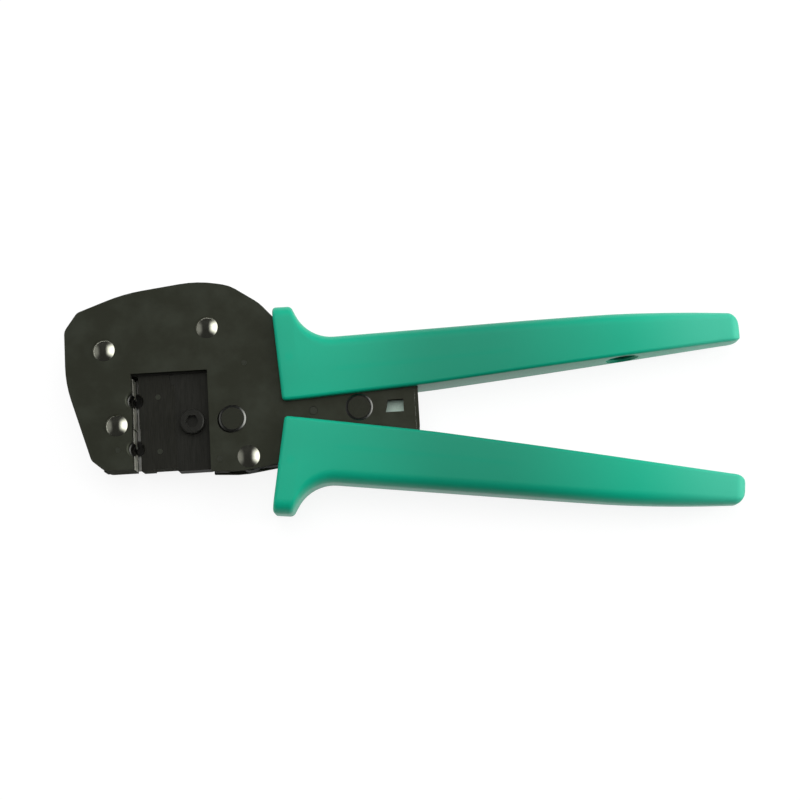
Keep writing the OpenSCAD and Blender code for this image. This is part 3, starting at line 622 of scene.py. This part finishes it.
def grip_section(x, line, sizes, inset):
    """Points of one section at x: a rounded box from the inner edge to the back, drawn in at its back,
    at its inner edge and at its faces."""
    back_r, edge_r = sizes.grip_round / MM, sizes.grip_edge / MM
    back = Vector((x, lookup(x, line)))
    share = (x - GRIP_LEFT) / (GRIP_END - GRIP_LEFT)
    inner_x = GRIP_INNER[0][0] + share * (GRIP_INNER[-1][0] - GRIP_INNER[0][0])
    inner = Vector((inner_x, eased(inner_x, GRIP_INNER)))
    out = (back - inner).normalized()
    width = (back - inner).length - inset[0] - inset[1]
    half = eased(x, GRIP_HALF) - inset[2]
    rounding = list(zip(ROUND_AT, (ROOT_ROUND, back_r, back_r, back_r / 2)))
    outer_r = max(eased(x, rounding) - inset[0], LEAST_ROUND)
    inner_r = max(edge_r - inset[1], LEAST_ROUND)
    points = []
    steps = 7
    for along, up, r, start in ((width - outer_r, half - outer_r, outer_r, 0),
                                (inner_r, half - inner_r, inner_r, 90),
                                (inner_r, inner_r - half, inner_r, 180),
                                (width - outer_r, outer_r - half, outer_r, 270)):
        for k in range(steps + 1):
            t = math.radians(start + 90 * k / steps)
            at = inner + out * (inset[1] + along + r * math.cos(t))
            points.append((at, (up + r * math.sin(t)) * MM))
    return points


def grip_body(name, lower, sizes):
    """The moulding: sections from the root to the end, drawn in round both ends."""
    line = [(p.x, p.y) for p in rounded(GRIP_BACK)]
    edge = sizes.grip_edge / MM
    short, back_share, inner_share = LOWER_END if lower else UPPER_END
    end = GRIP_END - short
    quarter = [math.radians(15 * k) for k in range(7)]
    rows = [(GRIP_LEFT + edge * (1 - math.cos(t)), [edge * (1 - math.sin(t))] * 3) for t in quarter]
    steps = range(1, int((GRIP_END - GRIP_LEFT) / SECTION_STEP))
    places = {x for x, y in line} | {GRIP_LEFT + SECTION_STEP * k for k in steps}
    rows += [(x, (0, 0, 0)) for x in sorted(places)
             if GRIP_LEFT + edge + SECTION_GAP < x < end - END_ROUND - SECTION_GAP]
    for t in reversed(quarter):
        drawn = END_ROUND * (1 - math.sin(t))
        inset = (back_share * drawn, inner_share * drawn, FACE_SHARE * drawn)
        rows.append((end - END_ROUND * (1 - math.cos(t)), inset))
    return skinned(name, [[spot(*(mirrored(p) if lower else p), MID_Z + z)
                           for p, z in grip_section(x, line, sizes, inset)] for x, inset in rows])


def combine(obj, operation, *tools):
    """Cuts the tools out of the object or joins them to it, and removes them."""
    for tool in tools:
        step = obj.modifiers.new("combine", "BOOLEAN")
        step.operation = operation
        step.solver = "EXACT"
        step.object = tool
    settle(obj, CUT_SHARP_ABOVE)
    for tool in tools:
        data = tool.data
        bpy.data.objects.remove(tool)
        bpy.data.meshes.remove(data)


def hole_axis(lower):
    """Where the round hole starts, and the direction that it opens in."""
    at = Vector(GRIP_HOLE_AT)
    out = Vector((math.sin(HOLE_LEAN), -math.cos(HOLE_LEAN)))
    if lower:
        out = mirrored(at + out) - mirrored(at)
        at = mirrored(at)
    return spot(at.x, at.y, MID_Z), Vector((out.x, out.y, 0)).normalized()


def hole_tool(lower):
    """The round hole moulded into the inner face, with a rounded bottom and a small lead-in."""
    depth, radius = GRIP_HOLE_D * MM, GRIP_HOLE_R * MM
    bottom_edge, lead_in, above = 0.6 * MM, 0.5 * MM, 3 * MM
    tool = turned("hole_tool", [(0, -depth), (radius - bottom_edge, -depth), (radius, bottom_edge - depth),
                                (radius, -HOLE_SHADE_DEPTH * MM), (radius, -lead_in), (radius + lead_in, 0),
                                (radius + lead_in, above), (0, above)], steps=64)
    at, axis = hole_axis(lower)
    turn = axis.to_track_quat("Z", "X").to_matrix().to_4x4()
    tool.data.transform(Matrix.Translation(at) @ turn)
    return tool


def shade_hole(grip, lower):
    """Below the moulded shell the round hole's wall gets the dark steel finish, as painted shade in the deep
    hole.
    """
    at, axis = hole_axis(lower)
    reach = 0.1
    grip.data.materials.append(FINISH["green_grip"])
    # Painted shade: the dark steel finish on the hole's deep wall
    grip.data.materials.append(FINISH["core_steel"])
    for face in grip.data.polygons:
        depth = (at - face.center).dot(axis)
        aside = (face.center - at + axis * depth).length
        if HOLE_SHADE_DEPTH * MM < depth < (GRIP_HOLE_D + reach) * MM and aside < (GRIP_HOLE_R + reach) * MM:
            face.material_index = 1


def mould_grip(name, node, lower, space, play, sizes):
    """One grip, with its round hole and the space for the steel at its root."""
    grip = grip_body(name, lower, sizes)
    steel = prism("steel_space", space, REAR_Z - play * MM, FRONT_Z + play * MM)
    combine(grip, "DIFFERENCE", hole_tool(lower), steel)
    shade_hole(grip, lower)
    fit(grip, node)


class CRIMP_OT_grips(bpy.types.Operator):
    """Moulds the two green grips over their levers, with the root hollows and the round holes"""
    bl_idname = "crimp.grips"
    bl_label = "Grips"

    def execute(self, context):
        sizes = context.scene.crimp_sizes
        mould_grip("grip_upper", "upper_grip", False, UPPER_SPACE, UPPER_PLAY, sizes)
        mould_grip("grip_lower", "lower_grip", True, LOWER_SPACE, LOWER_PLAY, sizes)
        return {"FINISHED"}


# Steel pieces

# Sizes in mm. The front plate is lower from this place to the tongue's end, by this depth
REBATE_AT = 77.0
REBATE_DEPTH = 0.45
# Places of the domed rivets, and the height of the pivot rivet's head as a share of the others'
FRAME_RIVETS = [(-29.6, 26.5), (6.4, 32.5), (-26, 0)]
PIVOT_RIVET = (19, -13.35)
PIVOT_SHARE = 0.8
# Edges broken on the pins' heads, on the ram and pawl, and on the screw
PIN_EDGE = 0.06
BLOCK_EDGE = 0.2
SCREW_EDGE = 0.15
# Reach of a nest's bell mouth round its centre, and of the slit's walls to both sides of it
NEST_REACH = 3.4
SLIT_REACH = 1.5
# The stop's strip is drawn out at its end beyond the first place, by the second length
STRIP_END = 16
STRIP_LONGER = 1.8
# Return spring: the places of the lever's ear and of the post, how far towards the post the ear's loop has
# its middle, the free radius in each loop, the gaps between loops and coils, and the coils' radius and number
RETURN_EAR = (20.8, 4.2)
RETURN_POST = (41.9, 1.1)
EAR_SHIFT = 1.7
EAR_LOOP = 1.705
POST_RADIUS = 1.6
LEAD_IN = 1.2
LEAD_OUT = 1.4
RETURN_COIL = 1.85
RETURN_TURNS = 14
# Radius and number of the pawl spring's coils
PAWL_COIL = 1.2
PAWL_TURNS = 3
# Sides of the round wire in both springs
WIRE_SIDES = 10


def tongue_rebate(obj):
    """A shallow step along the tongue's end."""
    far, aside, above = 85, 30, 1.0
    step = prism("rebate_tool", [(REBATE_AT, -aside), (REBATE_AT, aside), (far, aside), (far, -aside)],
                 FRONT_Z - REBATE_DEPTH * MM, FRONT_Z + above * MM)
    combine(obj, "DIFFERENCE", step)


def rubbed_end(face):
    """True for the broken edges at the tongue's end, rubbed bright."""
    on_end = face.center.x > spot(REBATE_AT - 0.5, 0).x
    return on_end and face.normal.x > 0.2 and 0.2 < face.normal.z < 0.98


def sheared(face):
    """True for the side walls, which the stamping tool has sheared."""
    return abs(face.normal.z) < 0.2


class CRIMP_OT_plates(bpy.types.Operator):
    """Breaks the edges of the side plates and finishes them in black oxide"""
    bl_idname = "crimp.plates"
    bl_label = "Side plates"

    def execute(self, context):
        edge = context.scene.crimp_sizes.plate_edge
        dressed("front_plate", edge, tongue_rebate, sheared_edge=sheared, bare_chamfer=rubbed_end)
        dressed("rear_plate", edge, sheared_edge=sheared)
        repaint("frame_core", "lower_guide", "fixed_lever", "flush_rivets")
        return {"FINISHED"}


def rivet_head(r, h):
    """A domed head with radius r and height h, on a thinner shank that reaches into the plate."""
    ball = (r * r + h * h) / (2 * h)
    lean = math.asin(r / ball)
    steps = 10
    shank_r, shank_end, rim = r - 0.1 * MM, -1.2 * MM, 0.05 * MM
    dome = [(ball * math.sin(t), h - ball + ball * math.cos(t))
            for t in (lean * (1 - k / steps) for k in range(1, steps))]
    shank = [(0, shank_end), (shank_r, shank_end), (shank_r, 0)]
    return turned("rivet_head", shank + [(r, rim)] + dome + [(0, h)])


class CRIMP_OT_rivets(bpy.types.Operator):
    """Sets the domed rivets on both plates"""
    bl_idname = "crimp.rivets"
    bl_label = "Rivets"

    def execute(self, context):
        sizes = context.scene.crimp_sizes
        tree, ids = repeat_tree()
        rows = (("frame_rivets", FRAME_RIVETS, 1.0), ("pivot_rivet", [PIVOT_RIVET], PIVOT_SHARE))
        for node, places, share in rows:
            head = rivet_head(sizes.rivet_radius, sizes.rivet_height * share)
            points = [spot(u, v, z) for u, v in places for z in (FRONT_Z, REAR_Z)]
            rivets = points_object(node + "_finished", points)
            run_tree(rivets, tree,
                     {ids["piece"]: head, ids["middle"]: MID_Z, ids["finish"]: FINISH[SLOT_OF[node]]})
            bpy.data.objects.remove(head)
            fit(rivets, node)
        return {"FINISHED"}


def rubbed_slope(face):
    """True for the sloping edges of the pins' heads, rubbed bright."""
    return 0.5 < abs(face.normal.z) < 0.985


class CRIMP_OT_pins(bpy.types.Operator):
    """Finishes the pins, dowels and posts"""
    bl_idname = "crimp.pins"
    bl_label = "Pins"

    def execute(self, context):
        for node in ("pawl_pin", "drive_pin"):
            dressed(node, PIN_EDGE * MM, rubbed_slope=rubbed_slope)
        repaint("spring_post", "pawl_spring_pin", "dowel_pins", "punch_pins", "stop_screw")
        return {"FINISHED"}


def nest_chamfer(face):
    """True for the sloping faces of the nests' bell mouths."""
    return 0.3 < face.normal.z < 0.95 and face.area > 0.02 * MM * MM and near_nest(face.center)


def near_nest(p):
    """True for a point in the bell mouth of a nest."""
    nests = (spot(NEST_AT[0], side * NEST_AT[1]) for side in (-1, 1))
    return any((Vector((p.x, p.y, 0)) - nest).length < NEST_REACH * MM for nest in nests)


def ground_face(face):
    """True for the flat faces on both sides of the slit."""
    return abs(face.normal.x) > 0.98 and abs(face.center.x - spot(NEST_AT[0], 0).x) < SLIT_REACH * MM


def underside(face):
    """True for the faces that look away from the upper grip."""
    return face.normal.y < -0.9


def longer_punch(obj):
    """Adds the punch's head beside the ram's upper part, up to the ram's top."""
    low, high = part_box("insulation_punch")
    play, overlap = 0.05, 1
    left, right = from_screw(low)[0], -RAM_LIP - play
    top, ram_top = from_screw(high)[1], from_screw(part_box("ram")[1])[1]
    outline = [(left, top - overlap), (right, top - overlap), (right, ram_top), (left, ram_top)]
    combine(obj, "UNION", prism("punch_head", outline, low[2], high[2]))


def longer_strip(obj):
    """Draws the strip's upper end out, so that it closes the slit's end as well."""
    end = spot(0, STRIP_END).y
    for v in obj.data.vertices:
        if v.co.y > end:
            v.co.y += STRIP_LONGER * MM


class CRIMP_OT_dies(bpy.types.Operator):
    """Finishes the anvils, the punches and the terminal stop"""
    bl_idname = "crimp.dies"
    bl_label = "Dies"

    def execute(self, context):
        edge = context.scene.crimp_sizes.die_edge
        dressed("insulation_anvil", edge, sheared_edge=underside, ground_face=ground_face,
                worn_chamfer=nest_chamfer)
        dressed("insulation_punch", edge, longer_punch, sheared_edge=underside, ground_face=ground_face,
                bare_chamfer=nest_chamfer)
        for node in ("conductor_anvil", "conductor_punch"):
            dressed(node, edge, sheared_edge=underside, ground_face=ground_face)
        dressed("terminal_stop", edge, longer_strip)
        return {"FINISHED"}


class CRIMP_OT_ram(bpy.types.Operator):
    """Finishes the ram and its screw"""
    bl_idname = "crimp.ram"
    bl_label = "Ram"

    def execute(self, context):
        dressed("ram", BLOCK_EDGE * MM)
        dressed("die_screw", SCREW_EDGE * MM)
        return {"FINISHED"}


class CRIMP_OT_lever(bpy.types.Operator):
    """Finishes the moving lever and the ratchet pawl"""
    bl_idname = "crimp.lever"
    bl_label = "Lever and pawl"

    def execute(self, context):
        repaint("moving_lever")
        dressed("ratchet_pawl", BLOCK_EDGE * MM)
        return {"FINISHED"}


def end_loop(centre, first, second, radius, start):
    """Points of a spring's open end loop: 280 degrees of a circle in the plane of first and second."""
    return [centre + first * (radius * math.cos(w)) + second * (radius * math.sin(w))
            for w in (math.radians(start + 7 * k) for k in range(41))]


def coils(start, end, first, second, radius, turns):
    """Points of a spring's coils from start to end, in steps of 15 degrees."""
    steps = 24 * turns
    points = []
    for k in range(steps + 1):
        w = math.radians(15 * k)
        points.append(start + (end - start) * (k / steps)
                      + first * (radius * math.cos(w)) + second * (radius * math.sin(w)))
    return points


def wound(name, path, wire, tree, ids):
    """A spring of round wire along the path."""
    spring = points_object(name, path, joined=True)
    run_tree(spring, tree,
             {ids["radius"]: wire / 2, ids["sides"]: WIRE_SIDES, ids["finish"]: FINISH["spring_wire"]})
    return spring


def wind_return_spring(wire, tree, ids):
    """From an upright loop through the lever's ear to a flat loop round the spring post."""
    ear, post = (spot(u, v, MID_Z) for u, v in (RETURN_EAR, RETURN_POST))
    axis = (post - ear).normalized()
    side = Vector((-axis.y, axis.x, 0))
    up = Vector((0, 0, 1))
    ear_loop = EAR_LOOP * MM + wire / 2
    post_loop = POST_RADIUS * MM + wire / 2
    start = ear + axis * (EAR_SHIFT * MM + ear_loop + LEAD_IN * MM)
    end = post - axis * (post_loop + LEAD_OUT * MM)
    path = end_loop(ear + axis * EAR_SHIFT * MM, axis, up, ear_loop, 40)
    path += coils(start, end, -side, up, RETURN_COIL * MM, RETURN_TURNS)
    path += end_loop(post, axis, side, post_loop, 220)
    spring = wound("return_spring_finished", path, wire, tree, ids)
    strung(spring, "return_spring")


def wind_pawl_spring(wire, tree, ids):
    """Coils that fill the CAD spring's length, from the pin's side up to the pawl's."""
    low, high = (Vector(corner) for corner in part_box("pawl_spring"))
    middle_x = (low.x + high.x) / 2
    start, end = (Vector((middle_x, y, MID_Z)) for y in (low.y + wire / 2, high.y - wire / 2))
    path = coils(start, end, Vector((1, 0, 0)), Vector((0, 0, 1)), PAWL_COIL * MM, PAWL_TURNS)
    spring = wound("pawl_spring_finished", path, wire, tree, ids)
    strung(spring, "pawl_spring")


class CRIMP_OT_springs(bpy.types.Operator):
    """Winds the return spring and the pawl spring"""
    bl_idname = "crimp.springs"
    bl_label = "Springs"

    def execute(self, context):
        sizes = context.scene.crimp_sizes
        tree, ids = wire_tree()
        wind_return_spring(sizes.return_wire, tree, ids)
        wind_pawl_spring(sizes.pawl_wire, tree, ids)
        return {"FINISHED"}


# Stage

# The camera's height over the horizon, how far the tool is turned in its picture, its distance to the
# middle of the view and the view's width there in m, and that middle, in mm and as a height in m
CAMERA_RISE = math.radians(81)
TOOL_ANGLE = math.radians(3.4)
CAMERA_FAR = 0.6
VIEW_WIDTH = 0.2765
VIEW_AT = (71.87, 3.4)
VIEW_HEIGHT = 0.013
# Each lamp's name, place and target in m, two sides in m, and power in watts
LAMPS = (("lamp_right", (0.8, 0.06, 0.32), (0.05, 0, 0), (0.3, 0.5), 4.0),
         ("lamp_left", (-0.75, 0, 0.32), (-0.04, 0, 0), (0.25, 0.5), 0.4),
         ("lamp_above", (0, 0.42, 1.12), (0, 0, 0), (1.2, 1.2), 8.3))
# Bright screens that reflections find beside the tool: where each begins along X and is full, and strength
SCREENS = ((0.2, 0.85, 1.9), (-0.5, -0.9, 0.22))
# Strength of the rest of the dark studio in reflections
STUDIO = 0.03
# The floor's reach to each side in m, how bright it shines by itself for the camera, and the share of that
# shine against the lit paper
FLOOR_REACH = 3.0
FLOOR_SHINE = 1.1
FLOOR_SHARE = 0.8
WHITE = (1, 1, 1, 1)


def seen_white(tree, lit, strength, camera_share):
    """A surface that the camera and reflections see as white, with the object's shadow left on it."""
    rays = add(tree, "ShaderNodeLightPath").outputs
    seen = calculate(tree, "MAXIMUM", rays["Is Camera Ray"], rays["Is Glossy Ray"])
    seen = calculate(tree, "MAXIMUM", seen, rays["Is Transmission Ray"])
    share = calculate(tree, "MULTIPLY", seen, camera_share)
    white = add(tree, "ShaderNodeEmission", {"Color": WHITE, "Strength": strength}).outputs[0]
    return add(tree, "ShaderNodeMixShader", {0: share, 1: lit, 2: white}).outputs[0]


def stage_floor():
    """White paper under the tool."""
    bm = bmesh.new()
    corners = ((-1, -1), (1, -1), (1, 1), (-1, 1))
    bm.faces.new([bm.verts.new((x * FLOOR_REACH, y * FLOOR_REACH, 0)) for x, y in corners])
    floor = from_bmesh("floor", bm)
    paper = bpy.data.materials.new("white_paper")
    paper.use_nodes = True
    tree = paper.node_tree
    tree.nodes.clear()
    lit = add(tree, "ShaderNodeBsdfDiffuse", {"Color": (0.8, 0.8, 0.8, 1)})
    seen = seen_white(tree, lit.outputs[0], FLOOR_SHINE, FLOOR_SHARE)
    add(tree, "ShaderNodeOutputMaterial", {"Surface": seen})
    floor.data.materials.append(paper)


def stage_world():
    """Three skies: a soft light for the tool, a dark studio with screens for reflections, and plain white
    for the camera."""
    world = bpy.data.worlds.new("studio")
    bpy.context.scene.world = world
    world.use_nodes = True
    tree = world.node_tree
    tree.nodes.clear()
    rays = add(tree, "ShaderNodeLightPath").outputs
    along = add(tree, "ShaderNodeSeparateXYZ", {0: add(tree, "ShaderNodeTexCoord").outputs["Generated"]})
    # Soft light comes from beyond the tool more than from the camera's side
    beyond = add(tree, "ShaderNodeMapRange",
                 {"Value": along.outputs["Y"], "From Min": -0.4, "From Max": 0.5,
                  "To Min": 0.04, "To Max": 0.78}).outputs[0]
    # Reflections find a bright screen at the studio's right side and a dimmer one at its left, which fade
    # towards both ends
    screens = [smooth_step(tree, along.outputs["X"], start, end, 0.0, strength)
               for start, end, strength in SCREENS]
    both = calculate(tree, "ADD", *screens)
    aside = calculate(tree, "ABSOLUTE", calculate(tree, "SUBTRACT", along.outputs["Y"], 0.1))
    fade = smooth_step(tree, aside, 0.25, 0.9, 1.0, 0.0)
    shine = calculate(tree, "MULTIPLY_ADD", both, fade, STUDIO)
    soft, dark, white = (add(tree, "ShaderNodeBackground", {"Color": WHITE, "Strength": strength}).outputs[0]
                         for strength in (beyond, shine, 1.0))
    unseen = add(tree, "ShaderNodeMixShader", {0: rays["Is Glossy Ray"], 1: soft, 2: dark}).outputs[0]
    through = calculate(tree, "MAXIMUM", rays["Is Camera Ray"], rays["Is Transmission Ray"])
    whole = add(tree, "ShaderNodeMixShader", {0: through, 1: unseen, 2: white}).outputs[0]
    add(tree, "ShaderNodeOutputWorld", {"Surface": whole})


def stage_lamp(name, at, target, size, watts):
    """A rectangular lamp that reflections don't see."""
    data = bpy.data.lights.new(name, "AREA")
    data.shape = "RECTANGLE"
    data.size, data.size_y = size
    data.energy = watts
    lamp = bpy.data.objects.new(name, data)
    lamp.location = at
    lamp.visible_glossy = False
    lamp.rotation_euler = (Vector(target) - Vector(at)).to_track_quat("-Z", "Y").to_euler()
    bpy.context.scene.collection.objects.link(lamp)


def stage_camera():
    """The photo's view: from above, with the tool slightly turned."""
    data = bpy.data.cameras.new("camera")
    data.sensor_width = 36.0
    data.lens = data.sensor_width * CAMERA_FAR / VIEW_WIDTH
    data.clip_start, data.clip_end = 0.01, 10.0
    camera = bpy.data.objects.new("camera", data)
    look = Vector((0, math.cos(CAMERA_RISE), -math.sin(CAMERA_RISE)))
    across, above = Vector((1, 0, 0)), Vector((0, math.sin(CAMERA_RISE), math.cos(CAMERA_RISE)))
    right = across * math.cos(TOOL_ANGLE) - above * math.sin(TOOL_ANGLE)
    up = across * math.sin(TOOL_ANGLE) + above * math.cos(TOOL_ANGLE)
    turn = Matrix((right, up, -look)).transposed().to_4x4()
    camera.matrix_world = Matrix.Translation(spot(*VIEW_AT, VIEW_HEIGHT) - look * CAMERA_FAR) @ turn
    bpy.context.scene.collection.objects.link(camera)
    bpy.context.scene.camera = camera


class CRIMP_OT_stage(bpy.types.Operator):
    """Lays the floor and sets the lamps and the camera"""
    bl_idname = "crimp.stage"
    bl_label = "Stage"

    def execute(self, context):
        stage_floor()
        stage_world()
        for lamp in LAMPS:
            stage_lamp(*lamp)
        stage_camera()
        context.scene.view_settings.view_transform = "Standard"
        return {"FINISHED"}


OPERATORS = (CRIMP_OT_plates, CRIMP_OT_rivets, CRIMP_OT_pins, CRIMP_OT_dies, CRIMP_OT_ram, CRIMP_OT_lever,
             CRIMP_OT_springs, CRIMP_OT_grips, CRIMP_OT_stage)


class CRIMP_PT_panel(bpy.types.Panel):
    """Sizes, colours and pieces of the crimp tool"""
    bl_idname = "CRIMP_PT_panel"
    bl_label = "Crimp tool"
    bl_space_type = "VIEW_3D"
    bl_region_type = "UI"
    bl_category = "Crimp tool"

    def draw(self, context):
        for group in (context.scene.crimp_sizes, context.scene.crimp_colours):
            box = self.layout.box()
            for name in group.bl_rna.properties.keys():
                if name not in ("rna_type", "name"):
                    box.prop(group, name)
        for operator in OPERATORS:
            self.layout.operator(operator.bl_idname)


CLASSES = (ToolSizes, ToolColours, *OPERATORS, CRIMP_PT_panel)


def register():
    for cls in CLASSES:
        bpy.utils.register_class(cls)
    bpy.types.Scene.crimp_sizes = bpy.props.PointerProperty(type=ToolSizes)
    bpy.types.Scene.crimp_colours = bpy.props.PointerProperty(type=ToolColours)


def unregister():
    del bpy.types.Scene.crimp_colours
    del bpy.types.Scene.crimp_sizes
    for cls in reversed(CLASSES):
        bpy.utils.unregister_class(cls)


def main():
    register()
    make_finishes(bpy.context.scene.crimp_colours)
    for operator in OPERATORS:
        group, name = operator.bl_idname.split(".")
        if getattr(getattr(bpy.ops, group), name)() != {"FINISHED"}:
            raise RuntimeError(f"{operator.bl_label} didn't finish")


if __name__ == "__main__":
    main()
